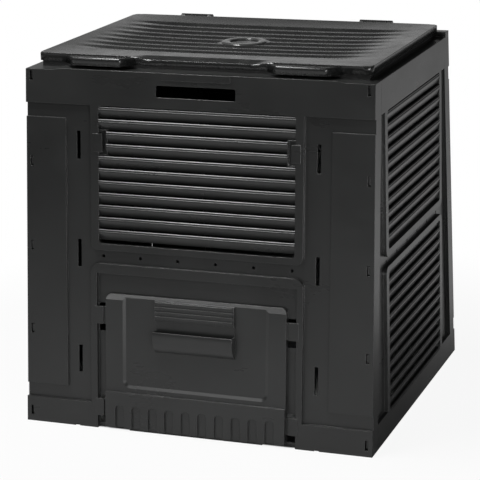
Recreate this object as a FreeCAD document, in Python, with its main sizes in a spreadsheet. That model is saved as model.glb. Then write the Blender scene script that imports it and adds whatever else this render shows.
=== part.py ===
import FreeCAD, Part
import math
import os
import Sketcher

# Garden compost bin: four leaning wall panels hooked together, a hinged ribbed lid and a lift-out hatch.
# Axes: X is the width, the front faces -Y, Z is up. The origin is the middle of the footprint, on the ground.

doc = FreeCAD.newDocument("CompostBin")
sheet = doc.addObject("Spreadsheet::Sheet", "Sizes")


class Measure:
    """A size that is known both as a number and as an expression of the sheet."""

    def __init__(self, value, text):
        self.value = float(value)
        self.text = text

    def __add__(self, other):
        other = measure(other)
        return Measure(self.value + other.value, f"({self.text} + {other.text})")

    def __sub__(self, other):
        other = measure(other)
        return Measure(self.value - other.value, f"({self.text} - {other.text})")

    def __mul__(self, other):
        other = measure(other)
        return Measure(self.value * other.value, f"({self.text} * {other.text})")

    def __truediv__(self, other):
        other = measure(other)
        return Measure(self.value / other.value, f"({self.text} / {other.text})")

    def __neg__(self):
        return Measure(-self.value, f"(0 - {self.text})")

    def cosine(self):
        """The cosine of an angle in degrees."""
        return Measure(math.cos(math.radians(self.value)), f"cos({self.text})")

    def __radd__(self, other):
        return measure(other) + self

    def __rsub__(self, other):
        return measure(other) - self

    def __rmul__(self, other):
        return measure(other) * self


def measure(number):
    """Give a plain number the same form as a size of the sheet."""
    if isinstance(number, Measure):
        return number
    return Measure(number, f"{number:g}")


def slope_angle(rise, run):
    """The angle in degrees whose tangent is rise over run."""
    return Measure(math.degrees(math.atan(rise.value / run.value)), f"atan({rise.text} / {run.text})")


def size(name, value):
    """Write one driving size into the sheet and give it back."""
    row = size.rows = getattr(size, "rows", 0) + 1
    sheet.set(f"A{row}", name)
    sheet.set(f"B{row}", f"{value:g}")
    sheet.setAlias(f"B{row}", name)
    return Measure(value, f"Sizes.{name}")


# Overall sizes
foot_width = size("foot_width", 780)
top_width = size("top_width", 764)
foot_depth = size("foot_depth", 722)
top_depth = size("top_depth", 604)
wall_height = size("wall_height", 770)

# Wall panels
skin = size("skin", 3.5)
relief = size("relief", 8)
top_band = size("top_band", 72)
foot_band = size("foot_band", 55)
return_depth = size("return_depth", 43)
corner_gap = size("corner_gap", 0.5)
corner_drop = size("corner_drop", 3)
shoulder_place = size("shoulder_place", 311)
shoulder_run = size("shoulder_run", 8)
lip_skin = size("lip_skin", 3)
lip_play = size("lip_play", 2.5)
tongue_end = size("tongue_end", 14)
post_inner = size("post_inner", 330)
post_front = size("post_front", 276)
post_high = size("post_high", 778)
foot_notch_place = size("foot_notch_place", 270)
foot_notch_half = size("foot_notch_half", 5)
foot_notch_high = size("foot_notch_high", 4)
trim = size("trim", 30)
overlap = size("overlap", 1)

# Corner strips of the front and back panels
strip_inner = size("strip_inner", 293)
strip_low = size("strip_low", 85)
strip_high = size("strip_high", 668)
strip_rise = size("strip_rise", 5)

# Vent slots beside the corner strips
vent_place = size("vent_place", 265)
vent_width = size("vent_width", 8)
vent_length = size("vent_length", 60)
vent_low = size("vent_low", 118)
vent_pitch = size("vent_pitch", 232)
vent_rows = 3

# Corner hooks and their slots
hook_rows = 5
hook_edge = size("hook_edge", 12.5)
hook_width = size("hook_width", 4.5)
hook_height = size("hook_height", 17)
hook_root = size("hook_root", 16)
hook_lift_play = size("hook_lift_play", 2)
hook_low = size("hook_low", 24)
hook_pitch = size("hook_pitch", 183)
hook_play = size("hook_play", 1)
hook_set_back = size("hook_set_back", 5.5)
root_set_back = size("root_set_back", 2)

# Louvre fields
frame_half = size("frame_half", 235)
frame_low = size("frame_low", 391)
field_half = size("field_half", 217)
field_low = size("field_low", 405)
field_corner = size("field_corner", 8)
field_high = size("field_high", 698)
frame_corner = size("frame_corner", 14)
slat_pitch = size("slat_pitch", 26)
slat_count = size("slat_count", 11)
slat_top = size("slat_top", 696)
slat_nose = size("slat_nose", 11)
slat_drop = size("slat_drop", 24)
long_slat_drop = size("long_slat_drop", 33)
slat_skin = size("slat_skin", 2.5)
slat_depth = size("slat_depth", 10)
slat_root = size("slat_root", 1.5)
low_frame_high = size("low_frame_high", 370)
low_slat_top = size("low_slat_top", 367)
low_field_high = size("low_field_high", 358)
low_field_low = size("low_field_low", 50)
low_slat_count = size("low_slat_count", 13)

# Small holes of the mid band
hole_count = 6
hole_pitch = size("hole_pitch", 84)
hole_place = size("hole_place", 377)
hole_bore = size("hole_bore", 7)

# Hand slot in the top band
hand_half = size("hand_half", 87)
hand_low = size("hand_low", 721)
hand_high = size("hand_high", 746)
hand_corner = size("hand_corner", 4)
hand_lip_half = size("hand_lip_half", 76)
hand_lip_low = size("hand_lip_low", 757)
hand_lip_rise = size("hand_lip_rise", 2)

# Hatch: rim, recess, opening and guide tabs of the front panel
rim_half = size("rim_half", 237)
rim_high = size("rim_high", 362)
rim_corner = size("rim_corner", 20)
recess_half = size("recess_half", 223)
recess_high = size("recess_high", 341)
recess_sink = size("recess_sink", 10)
opening_half = size("opening_half", 180)
opening_low = size("opening_low", 24)
opening_high = size("opening_high", 270)
tab_inner = size("tab_inner", 208)
tab_outer = size("tab_outer", 228)
tab_height = size("tab_height", 38)
tab_low = size("tab_low", 28)
tab_mid = size("tab_mid", 231)
tab_top = size("tab_top", 601)
tab_skin = size("tab_skin", 3)
tab_front = size("tab_front", -1)
tab_hole_edge = size("tab_hole_edge", 2)
tab_hole_below = size("tab_hole_below", 17)
tab_hole_above = size("tab_hole_above", 6)
cup_inner = size("cup_inner", 200)
cup_low = size("cup_low", 595)
cup_high = size("cup_high", 645)
cup_floor = size("cup_floor", 9)
cup_skin = size("cup_skin", 2.5)
sill_half = size("sill_half", 150)
sill_front = size("sill_front", 2)

# Hatch door
door_half = size("door_half", 202)
door_low = size("door_low", 7)
door_high = size("door_high", 298)
door_corner = size("door_corner", 12)
door_face = size("door_face", -2)
door_skin = size("door_skin", 3)
door_play = size("door_play", 0.4)
flange_half = size("flange_half", 220)
flange_skin = size("flange_skin", 3)
door_panel_half = size("door_panel_half", 160)
door_panel_low = size("door_panel_low", 98)
door_panel_sink = size("door_panel_sink", 3)
door_panel_bevel = size("door_panel_bevel", 7)
door_panel_corner = size("door_panel_corner", 17)
skirt_high = size("skirt_high", 85)
skirt_rise = size("skirt_rise", 6)
flute_count = 10
flute_pitch = size("flute_pitch", 37.5)
flute_half = size("flute_half", 10)
flute_high = size("flute_high", 57)
flute_sink = size("flute_sink", 5)
flute_corner = size("flute_corner", 9)
door_bevel = size("door_bevel", 12)
door_bevel_sink = size("door_bevel_sink", 6)

# Hatch grip
grip_half = size("grip_half", 89)
grip_high = size("grip_high", 292)
grip_low = size("grip_low", 180)
grip_skin = size("grip_skin", 3)
grip_rise = size("grip_rise", 8)
grip_edge = size("grip_edge", 2)
ridge_count = 4
ridge_pitch = size("ridge_pitch", 10)
ridge_width = size("ridge_width", 6)
ridge_rise = size("ridge_rise", 3)
finger_low = size("finger_low", 227)
finger_high = size("finger_high", 250)
scoop_rise = size("scoop_rise", 20)
scoop_bow = size("scoop_bow", 1.1)

# Lid
lid_half = size("lid_half", 366)
lid_depth = size("lid_depth", 537)
lid_high = size("lid_high", 796)
lid_skin = size("lid_skin", 3.5)
lid_skirt = size("lid_skirt", 17)
lid_corner = size("lid_corner", 10)
lid_edge = size("lid_edge", 2)
lid_seat = size("lid_seat", 0.3)
groove_count = 8
groove_pitch = size("groove_pitch", 46.5)
groove_width = size("groove_width", 20)
groove_back = size("groove_back", 6)
groove_sink = size("groove_sink", 2)
groove_half = size("groove_half", 330)
dish_sink = size("dish_sink", 8.5)
dish_skin = size("dish_skin", 4.5)
dish_half = size("dish_half", 352)
dish_floor_half = size("dish_floor_half", 215)
dish_along = size("dish_along", 248)
dish_floor_along = size("dish_floor_along", 176)
dip_half = size("dip_half", 125)
dip_depth = size("dip_depth", 34)
dip_sink = size("dip_sink", 6)
lid_tab_inner = size("lid_tab_inner", 142)
lid_tab_outer = size("lid_tab_outer", 306)
lid_tab_reach = size("lid_tab_reach", 28)
lid_tab_flare = size("lid_tab_flare", 28)
lid_tab_height = size("lid_tab_height", 17)
lid_tab_skin = size("lid_tab_skin", 3)
ring_outer = size("ring_outer", 50)
ring_inner = size("ring_inner", 31)
ring_rise = size("ring_rise", 1.5)
ring_sink = size("ring_sink", 3)
badge_gap = size("badge_gap", 0.5)
badge_thick = size("badge_thick", 2)

# Lid hinges
hinge_place = size("hinge_place", 217.5)
hinge_length = size("hinge_length", 75)
hinge_lug = size("hinge_lug", 10)
hinge_play = size("hinge_play", 0.5)
knuckle_radius = size("knuckle_radius", 12)
hinge_rise = size("hinge_rise", 16)
hinge_back = size("hinge_back", 17)
pin_radius = size("pin_radius", 4)
pin_play = size("pin_play", 0.08)

# Worked out from the driving sizes
side_lean = (foot_width - top_width) / 2
front_lean = (foot_depth - top_depth) / 2
side_tilt = slope_angle(side_lean, wall_height)
front_tilt = slope_angle(front_lean, wall_height)
panel_back = relief + skin
band_low = wall_height - top_band


def bind(item, path, number):
    """Tie one property of an object to the sheet."""
    item.setExpression(path, measure(number).text)


def origin_item(body, role):
    return next(item for item in body.Origin.OriginFeatures if item.Role == role)


def new_body(name):
    return doc.addObject("PartDesign::Body", name)


def new_sketch(body, name, plane, offset):
    """A sketch on one of the body's origin planes, moved along that plane's normal."""
    drawing = body.newObject("Sketcher::SketchObject", name)
    drawing.AttachmentSupport = [(origin_item(body, plane), "")]
    drawing.MapMode = "FlatFace"
    bind(drawing, "AttachmentOffset.Base.z", offset)
    return drawing


def wall_sketch(body, name, sink):
    """A sketch parallel to the panel, sunk below its proud face: x along the panel, y up it."""
    return new_sketch(body, name, "XZ_Plane", -measure(sink))


def hold(drawing, kind, *place_and_value):
    """Add one constraint whose last entry is a size, and tie it to the sheet."""
    number = measure(place_and_value[-1])
    index = drawing.addConstraint(Sketcher.Constraint(kind, *place_and_value[:-1], number.value))
    bind(drawing, f"Constraints[{index}]", number)


def hold_point(drawing, line, end, corner):
    hold(drawing, "DistanceX", -1, 1, line, end, corner[0])
    hold(drawing, "DistanceY", -1, 1, line, end, corner[1])


def flat(corner):
    """The numbers of a corner as a vector."""
    return FreeCAD.Vector(measure(corner[0]).value, measure(corner[1]).value, 0)


def outline(drawing, corners):
    """Draw a closed outline of straight lines, each corner held by its own two sizes."""
    first = len(drawing.Geometry)
    count = len(corners)
    for number, corner in enumerate(corners):
        drawing.addGeometry(Part.LineSegment(flat(corner), flat(corners[(number + 1) % count])))
    for number, corner in enumerate(corners):
        here = first + number
        after = first + (number + 1) % count
        drawing.addConstraint(Sketcher.Constraint("Coincident", here, 2, after, 1))
        hold_point(drawing, here, 1, corner)


def bowed_outline(drawing, corners, radius):
    """Like outline, with an arc that bows to the right of the way from the last corner to the first."""
    first = len(drawing.Geometry)
    for number in range(len(corners) - 1):
        drawing.addGeometry(Part.LineSegment(flat(corners[number]), flat(corners[number + 1])))
    start = flat(corners[-1])
    end = flat(corners[0])
    chord = end - start
    across = FreeCAD.Vector(-chord.y, chord.x, 0).normalize()
    reach = math.sqrt(measure(radius).value ** 2 - (chord.Length / 2) ** 2)
    middle = (start + end) / 2 + across * reach
    circle = Part.Circle(middle, FreeCAD.Vector(0, 0, 1), measure(radius).value)
    arc = drawing.addGeometry(Part.ArcOfCircle(circle, circle.parameter(start), circle.parameter(end)))
    for number in range(len(corners) - 2):
        drawing.addConstraint(Sketcher.Constraint("Coincident", first + number, 2, first + number + 1, 1))
    drawing.addConstraint(Sketcher.Constraint("Coincident", arc - 1, 2, arc, 1))
    drawing.addConstraint(Sketcher.Constraint("Coincident", arc, 2, first, 1))
    for number, corner in enumerate(corners[:-1]):
        hold_point(drawing, first + number, 1, corner)
    hold_point(drawing, arc - 1, 2, corners[-1])
    hold(drawing, "Radius", arc, radius)


def rectangle(drawing, left, right, low, high):
    outline(drawing, [(left, low), (right, low), (right, high), (left, high)])


def rounded_rectangle(drawing, left, right, low, high, radius):
    """Draw a rectangle whose four corners are arcs of one radius."""
    first = len(drawing.Geometry)
    near = measure(radius).value
    x0, x1 = measure(left).value, measure(right).value
    y0, y1 = measure(low).value, measure(high).value
    ends = [((x0 + near, y0), (x1 - near, y0)), ((x1, y0 + near), (x1, y1 - near)),
            ((x1 - near, y1), (x0 + near, y1)), ((x0, y1 - near), (x0, y0 + near))]
    centres = [(x1 - near, y0 + near), (x1 - near, y1 - near), (x0 + near, y1 - near), (x0 + near, y0 + near)]
    for number in range(4):
        drawing.addGeometry(Part.LineSegment(flat(ends[number][0]), flat(ends[number][1])))
        circle = Part.Circle(flat(centres[number]), FreeCAD.Vector(0, 0, 1), near)
        turn = math.radians(90 * (number - 1))
        drawing.addGeometry(Part.ArcOfCircle(circle, turn, turn + math.pi / 2))
    for number in range(4):
        line = first + 2 * number
        after = first + (2 * number + 2) % 8
        drawing.addConstraint(Sketcher.Constraint("Tangent", line, 2, line + 1, 1))
        drawing.addConstraint(Sketcher.Constraint("Tangent", line + 1, 2, after, 1))
        drawing.addConstraint(Sketcher.Constraint("Horizontal" if number % 2 == 0 else "Vertical", line))
        if number:
            drawing.addConstraint(Sketcher.Constraint("Equal", first + 1, line + 1))
    hold(drawing, "Radius", first + 1, radius)
    hold(drawing, "DistanceY", -1, 1, first, 1, low)
    hold(drawing, "DistanceX", -1, 1, first + 2, 1, right)
    hold(drawing, "DistanceY", -1, 1, first + 4, 1, high)
    hold(drawing, "DistanceX", -1, 1, first + 6, 1, left)


def circle_at(drawing, across, up, radius):
    circle = Part.Circle(flat((across, up)), FreeCAD.Vector(0, 0, 1), measure(radius).value)
    index = drawing.addGeometry(circle)
    hold_point(drawing, index, 3, (across, up))
    hold(drawing, "Radius", index, radius)


def pad(body, name, drawing, length, inward=True):
    """Raise a sketch. On a wall sketch, inward means towards the inside of the bin."""
    feature = body.newObject("PartDesign::Pad", name)
    feature.Profile = drawing
    feature.Reversed = inward
    bind(feature, "Length", length)
    return feature


def pocket(body, name, drawing, length, inward=True, taper=0):
    """Cut a sketch. On a wall sketch, inward means towards the inside of the bin."""
    feature = body.newObject("PartDesign::Pocket", name)
    feature.Profile = drawing
    feature.Reversed = not inward
    bind(feature, "Length", length)
    if taper:
        bind(feature, "TaperAngle", taper)
    feature.Refine = False
    return feature


def pattern(body, name, original, axis, pitch, count, backwards=False):
    """Repeat a feature along an origin axis."""
    feature = body.newObject("PartDesign::LinearPattern", name)
    feature.Originals = [original]
    feature.Direction = (origin_item(body, axis), [""])
    feature.Reversed = backwards
    bind(feature, "Length", pitch * (measure(count) - 1))
    bind(feature, "Occurrences", count)
    feature.Refine = False
    body.Tip = feature
    return feature


def box(name, left, right, front, back, low, high):
    """A Part box between two places along each axis."""
    block = doc.addObject("Part::Box", name)
    bind(block, "Length", measure(right) - left)
    bind(block, "Width", measure(back) - front)
    bind(block, "Height", measure(high) - low)
    bind(block, "Placement.Base.x", left)
    bind(block, "Placement.Base.y", front)
    bind(block, "Placement.Base.z", low)
    return block


def rod(name, radius, left, right, back, up):
    """A Part cylinder along X between two places."""
    bar = doc.addObject("Part::Cylinder", name)
    bar.Placement = FreeCAD.Placement(FreeCAD.Vector(), FreeCAD.Rotation(FreeCAD.Vector(0, 1, 0), 90))
    bind(bar, "Radius", radius)
    bind(bar, "Height", measure(right) - left)
    bind(bar, "Placement.Base.x", left)
    bind(bar, "Placement.Base.y", back)
    bind(bar, "Placement.Base.z", up)
    return bar


def fuse(name, shapes):
    joined = doc.addObject("Part::MultiFuse", name)
    joined.Shapes = shapes
    return joined


def cut(name, base, tool):
    trimmed = doc.addObject("Part::Cut", name)
    trimmed.Base = base
    trimmed.Tool = tool
    return trimmed


def stand(item, turn, out, tilt):
    """Stand a panel on the ground: lean its top inwards, then turn it to its side of the bin."""
    lean = f"create(<<rotation>>; create(<<vector>>; -1; 0; 0); {tilt.text})"
    spin = f"create(<<rotation>>; create(<<vector>>; 0; 0; 1); {turn})"
    forth = {0: f"0; 0 - {out.text}", 90: f"{out.text}; 0", 180: f"0; {out.text}", 270: f"0 - {out.text}; 0"}
    place = f"create(<<vector>>; {forth[turn]}; 0)"
    item.setExpression("Placement", f"create(<<placement>>; {place}; {spin} * {lean})")


# Edges and heights that several pieces share
rim_inner = lid_depth / 2 - lid_skin - lip_play - lip_skin
side_lip_inner = lid_half - lid_skin - lip_play - lip_skin
lip_top = lid_high - lid_skin - lid_seat
low_rim = wall_height - corner_drop
hinge_line = lid_depth / 2 + hinge_back
hinge_high = wall_height + hinge_rise
panel_top = wall_height + trim


def front_edge(up):
    """Half the width of the front and back panels at a height."""
    return foot_width / 2 - side_lean * up / wall_height


def side_edge(up):
    """Half the seen width of the side panels at a height, between the returns."""
    return foot_depth / 2 - return_depth - corner_gap - front_lean * up / wall_height


def tongue_edge(up):
    """How far the tongues of the side panels reach into the returns at a height."""
    return foot_depth / 2 - tongue_end - front_lean * up / wall_height


def full_width(drawing, edge, low, high, inset=0):
    """An outline across a whole panel between two heights."""
    low, high = measure(low), measure(high)
    foot = edge(low) - inset
    head = edge(high) - inset
    outline(drawing, [(-foot, low), (foot, low), (head, high), (-head, high)])


def margins(drawing, edge, inner, low, high, inset=0):
    """A pair of outlines from a place near the middle to both edges of a panel."""
    low, high, inner = measure(low), measure(high), measure(inner)
    for side in (-1, 1):
        foot = side * (edge(low) - inset)
        head = side * (edge(high) - inset)
        outline(drawing, [(side * inner, low), (foot, low), (head, high), (side * inner, high)])


def twin_rectangles(drawing, inner, outer, low, high):
    """A rectangle on each side of the middle."""
    rectangle(drawing, -measure(outer), -measure(inner), low, high)
    rectangle(drawing, inner, outer, low, high)


def plain_wall(name, edge, reach):
    """The plate of a panel with its top band and foot band."""
    body = new_body(name + "_wall")
    plate = wall_sketch(body, name + "_plate_outline", relief)
    full_width(plate, reach, -trim, panel_top)
    pad(body, name + "_plate", plate, skin)
    bands = wall_sketch(body, name + "_band_outline", 0)
    full_width(bands, edge, band_low, panel_top)
    full_width(bands, edge, -trim, foot_band)
    pad(body, name + "_bands", bands, panel_back)
    return body


def upper_frame(body, name):
    """The raised frame of the upper louvre field, which runs into the top band."""
    frame = wall_sketch(body, name + "_frame_outline", 0)
    rounded_rectangle(frame, -frame_half, frame_half, frame_low, band_low + frame_corner + skin, frame_corner)
    pad(body, name + "_frame", frame, panel_back)
    hollow = wall_sketch(body, name + "_frame_hollow_outline", skin)
    twin_rectangles(hollow, field_half + skin, frame_half - skin, frame_low + frame_corner, band_low - skin)
    rectangle(hollow, -field_half, field_half, frame_low + skin, field_low - skin)
    pocket(body, name + "_frame_hollow", hollow, relief)


def lower_frame(body, name):
    """The raised frame of the lower louvre field, which runs into the foot band."""
    frame = wall_sketch(body, name + "_low_frame_outline", 0)
    rounded_rectangle(frame, -frame_half, frame_half, -trim, low_frame_high, frame_corner)
    pad(body, name + "_low_frame", frame, panel_back)
    hollow = wall_sketch(body, name + "_low_frame_hollow_outline", skin)
    twin_rectangles(hollow, field_half + skin, frame_half - skin, foot_band, low_frame_high - frame_corner)
    rectangle(hollow, -field_half, field_half, low_field_high + skin, low_frame_high - skin)
    pocket(body, name + "_low_frame_hollow", hollow, relief)


def louvres(body, name, low, high, top, count, drop):
    """Open a field and close it with slats: a nose with two ridges and a face that runs in and down."""
    field = wall_sketch(body, name + "_field_outline", 0)
    rounded_rectangle(field, -field_half, field_half, low, high, field_corner)
    pocket(body, name + "_field", field, panel_back + slat_skin)
    groove = slat_nose / 4
    back = slat_skin + groove / 2
    end = top - drop
    slat = new_sketch(body, name + "_slat_outline", "YZ_Plane", -(field_half + slat_root))
    outline(slat, [(groove / 2, top), (0, top - groove / 2), (0, top - groove),
                   (groove / 2, top - groove * 1.5), (0, top - groove * 2), (0, top - groove * 3),
                   (slat_depth, end), (slat_depth + slat_skin, end), (back, top - slat_nose), (back, top)])
    first = pad(body, name + "_slat", slat, (field_half + slat_root) * 2, inward=False)
    pattern(body, name + "_slats", first, "Z_Axis", slat_pitch, count, backwards=True)


def small_holes(body, name):
    """The row of small holes across the mid band."""
    holes = wall_sketch(body, name + "_hole_outline", 0)
    for number in range(hole_count):
        circle_at(holes, hole_pitch * (number - (hole_count - 1) / 2), hole_place, hole_bore / 2)
    pocket(body, name + "_holes", holes, panel_back + skin)


def edge_work(body, name):
    """Corner strips, returns and hook slots of the front and back panels."""
    strips = wall_sketch(body, name + "_strip_outline", relief - strip_rise)
    margins(strips, front_edge, strip_inner, strip_low, strip_high)
    pad(body, name + "_strips", strips, skin + strip_rise)
    hollow = wall_sketch(body, name + "_strip_hollow_outline", relief - strip_rise + skin)
    margins(hollow, front_edge, strip_inner + skin, strip_low + skin, strip_high - skin, skin)
    pocket(body, name + "_strip_hollow", hollow, strip_rise)
    returns = wall_sketch(body, name + "_return_outline", relief)
    for side in (-1, 1):
        foot = side * front_edge(-trim)
        head = side * front_edge(panel_top)
        step = side * skin
        outline(returns, [(foot, -trim), (head, panel_top), (head - step, panel_top), (foot - step, -trim)])
    pad(body, name + "_returns", returns, return_depth - relief)
    slots = wall_sketch(body, name + "_slot_outline", 0)
    half = hook_width / 2 + hook_play
    rise = hook_height / 2 + hook_lift_play
    for row in range(hook_rows):
        up = hook_low + hook_pitch * row
        place = front_edge(up) - hook_edge
        twin_rectangles(slots, place - half, place + half, up - rise, up + rise)
    pocket(body, name + "_slots", slots, panel_back)


def side_vents(body):
    """The upright vent slots beside the corner strips of the front panel."""
    vents = wall_sketch(body, "vent_outline", 0)
    for row in range(vent_rows):
        low = vent_low + vent_pitch * row
        twin_rectangles(vents, vent_place - vent_width / 2, vent_place + vent_width / 2,
                        low, low + vent_length)
    pocket(body, "vents", vents, panel_back + skin)


def top_line():
    """The top edge of the front and back panels, with lower corners."""
    edge = top_width / 2
    low = shoulder_place + shoulder_run
    high = shoulder_place - shoulder_run
    return [(-edge, low_rim), (-low, low_rim), (-high, wall_height),
            (high, wall_height), (low, low_rim), (edge, low_rim)]


def keep_below_top(name, front, back):
    """A block that keeps what stands above the ground and below the top edge."""
    body = new_body(name + "_keep")
    drawing = new_sketch(body, name + "_keep_outline", "XZ_Plane", -measure(front))
    corners = top_line()
    wide = foot_width / 2 + trim
    outline(drawing, [(-wide, 0), (wide, 0), (wide, low_rim)] + corners[::-1][1:-1] + [(-wide, low_rim)])
    pad(body, name + "_keep_block", drawing, measure(back) - front)
    return body


def rim_ledge(name, start):
    """The level ledge that closes the top band of the front or back panel."""
    body = new_body(name + "_ledge")
    drawing = new_sketch(body, name + "_ledge_outline", "XZ_Plane", -measure(start))
    corners = top_line()
    under = [(across, up - skin) for across, up in corners[::-1]]
    outline(drawing, corners + under)
    pad(body, name + "_ledge_plate", drawing, top_depth / 2 - rim_inner)
    return body


def common(name, base, tool):
    shared = doc.addObject("Part::Common", name)
    shared.Base = base
    shared.Tool = tool
    return shared


def hand_slot(body):
    """The slot for the hand in the front top band, and the thicker lip above it."""
    slot = wall_sketch(body, "hand_slot_outline", 0)
    rounded_rectangle(slot, -hand_half, hand_half, hand_low, hand_high, hand_corner)
    pocket(body, "hand_slot", slot, panel_back)
    lip = wall_sketch(body, "hand_lip_outline", -hand_lip_rise)
    rectangle(lip, -hand_lip_half, hand_lip_half, hand_lip_low, panel_top)
    pad(body, "hand_lip", lip, hand_lip_rise + skin)


def band_hollows(body, name, edge, foot_inner):
    """Hollow the top and foot bands from inside the bin."""
    top = wall_sketch(body, name + "_top_hollow_outline", skin)
    full_width(top, edge, band_low + skin, panel_top, skin)
    pocket(body, name + "_top_hollow", top, relief)
    foot = wall_sketch(body, name + "_foot_hollow_outline", skin)
    if foot_inner is None:
        full_width(foot, edge, skin, low_field_low - skin, skin)
    else:
        margins(foot, edge, foot_inner, skin, foot_band - skin, skin)
    pocket(body, name + "_foot_hollow", foot, relief)


def hatch_frame(body):
    """The raised rim round the hatch, its recess and the opening in the recess."""
    rim = wall_sketch(body, "hatch_rim_outline", 0)
    rounded_rectangle(rim, -rim_half, rim_half, -trim, rim_high, rim_corner)
    pad(body, "hatch_rim", rim, panel_back)
    backing = wall_sketch(body, "recess_wall_outline", relief)
    rectangle(backing, -(recess_half + skin), recess_half + skin, -trim, recess_high + skin)
    pad(body, "recess_wall", backing, recess_sink + skin - relief)
    recess = wall_sketch(body, "recess_outline", 0)
    rectangle(recess, -recess_half, recess_half, -trim * 2, recess_high)
    pocket(body, "recess", recess, recess_sink)
    hollow = wall_sketch(body, "rim_hollow_outline", skin)
    twin_rectangles(hollow, recess_half + skin, rim_half - skin, skin, recess_high)
    rectangle(hollow, -recess_half, recess_half, recess_high + skin * 2, rim_high - skin)
    pocket(body, "rim_hollow", hollow, recess_sink)
    opening = wall_sketch(body, "hatch_opening_outline", 0)
    rounded_rectangle(opening, -opening_half, opening_half, opening_low, opening_high, field_corner)
    pocket(body, "hatch_opening", opening, recess_sink + skin * 2)
    sill = wall_sketch(body, "hatch_sill_outline", sill_front)
    rectangle(sill, -sill_half, sill_half, -trim, door_low - door_play)
    pad(body, "hatch_sill", sill, recess_sink - sill_front + skin)


def guide_tabs(body):
    """Six tabs in front of the hatch edges: four hold it closed, two hold it parked."""
    cups = wall_sketch(body, "tab_cup_outline", cup_floor - slat_depth / 2)
    twin_rectangles(cups, cup_inner - cup_skin, field_half + slat_root,
                    cup_low - cup_skin, cup_high + cup_skin)
    pad(body, "tab_cups", cups, slat_depth / 2 + cup_skin)
    inside = wall_sketch(body, "tab_cup_hollow_outline", -tab_skin)
    twin_rectangles(inside, cup_inner, field_half, cup_low, cup_high)
    pocket(body, "tab_cup_hollow", inside, cup_floor + tab_skin)
    holes = wall_sketch(body, "tab_hole_outline", recess_sink - overlap)
    for low in (tab_low, tab_mid):
        twin_rectangles(holes, door_half, recess_half - tab_hole_edge, low - tab_hole_below,
                        low + tab_height + tab_hole_above)
    pocket(body, "tab_holes", holes, skin + overlap * 2)
    tabs = wall_sketch(body, "tab_outline", tab_front)
    for low in (tab_low, tab_mid, tab_top):
        twin_rectangles(tabs, tab_inner, tab_outer, low, low + tab_height)
    pad(body, "tabs", tabs, tab_skin)


def foot_notches(body, name):
    notches = wall_sketch(body, name + "_notch_outline", 0)
    twin_rectangles(notches, foot_notch_place - foot_notch_half, foot_notch_place + foot_notch_half,
                    -trim, foot_notch_high)
    pocket(body, name + "_notches", notches, skin)


def front_panel():
    """The front wall, with the hatch frame, the guide tabs and the hand slot."""
    body = plain_wall("front", front_edge, front_edge)
    edge_work(body, "front")
    side_vents(body)
    band_hollows(body, "front", front_edge, rim_half + skin)
    upper_frame(body, "front")
    hatch_frame(body)
    small_holes(body, "front")
    hand_slot(body)
    foot_notches(body, "front")
    louvres(body, "front", field_low, field_high, slat_top, slat_count, slat_drop)
    guide_tabs(body)
    stand(body, 0, foot_depth / 2, front_tilt)
    keep = keep_below_top("front", -(foot_depth / 2 + trim), -rim_inner + trim)
    trimmed = common("front_trimmed", body, keep)
    dip = dip_half + lid_skin + lip_play
    end = side_lip_inner + lip_skin
    lips = []
    for word, left, right, top in (("left", -end, -dip, lip_top), ("middle", -dip, dip, lip_top - dip_sink),
                                   ("right", dip, end, lip_top)):
        lips.append(box("front_lip_" + word, left, right, -(rim_inner + lip_skin), -rim_inner,
                        low_rim - skin, top))
    return fuse("front_panel", [trimmed, rim_ledge("front", -(top_depth / 2))] + lips)


def hinge_ends(side):
    """The places along X where one hinge begins and ends."""
    return hinge_place * side - hinge_length / 2, hinge_place * side + hinge_length / 2


def pin_bore(name, left, right):
    """The rod that clears the way of a hinge pin."""
    return rod(name, pin_radius + pin_play, left - overlap, right + overlap, hinge_line, hinge_high)


def hinge_lug_shapes(word, number, left):
    """One lug that carries an end of a hinge pin: a block on the ledge with a round head."""
    tag = f"{word}_{number}"
    right = left + hinge_lug
    foot = box("hinge_lug_" + tag, left, right, hinge_line - knuckle_radius, hinge_line + knuckle_radius,
               low_rim, hinge_high)
    return [foot, rod("hinge_lug_head_" + tag, knuckle_radius, left, right, hinge_line, hinge_high)]


def back_panel():
    """The back wall, with two louvre fields, low corner posts and the lugs of the lid hinges."""
    body = plain_wall("back", front_edge, front_edge)
    edge_work(body, "back")
    band_hollows(body, "back", front_edge, frame_half + skin)
    upper_frame(body, "back")
    lower_frame(body, "back")
    foot_notches(body, "back")
    louvres(body, "back", field_low, field_high, slat_top, slat_count, long_slat_drop)
    louvres(body, "back_low", low_field_low, low_field_high, low_slat_top, low_slat_count,
            long_slat_drop)
    stand(body, 180, foot_depth / 2, front_tilt)
    keep = keep_below_top("back", rim_inner - trim, foot_depth / 2 + trim)
    trimmed = common("back_trimmed", body, keep)
    end = side_lip_inner + lip_skin
    lip = box("back_lip", -end, end, rim_inner, rim_inner + lip_skin, low_rim - skin, lip_top)
    shapes = [trimmed, rim_ledge("back", rim_inner), lip]
    bores = []
    for side, word in ((-1, "left"), (1, "right")):
        left, right = hinge_ends(side)
        for number, place in enumerate((left, right - hinge_lug)):
            shapes += hinge_lug_shapes(word, number, place)
        near, far = sorted((side * post_inner, side * top_width / 2), key=lambda place: place.value)
        shapes.append(box("back_post_" + word, near, far, post_front, top_depth / 2,
                          low_rim - skin, post_high))
        bores.append(pin_bore("lug_bore_" + word, left, right))
    return cut("back_panel", fuse("back_panel_solid", shapes), fuse("lug_bores", bores))


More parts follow.
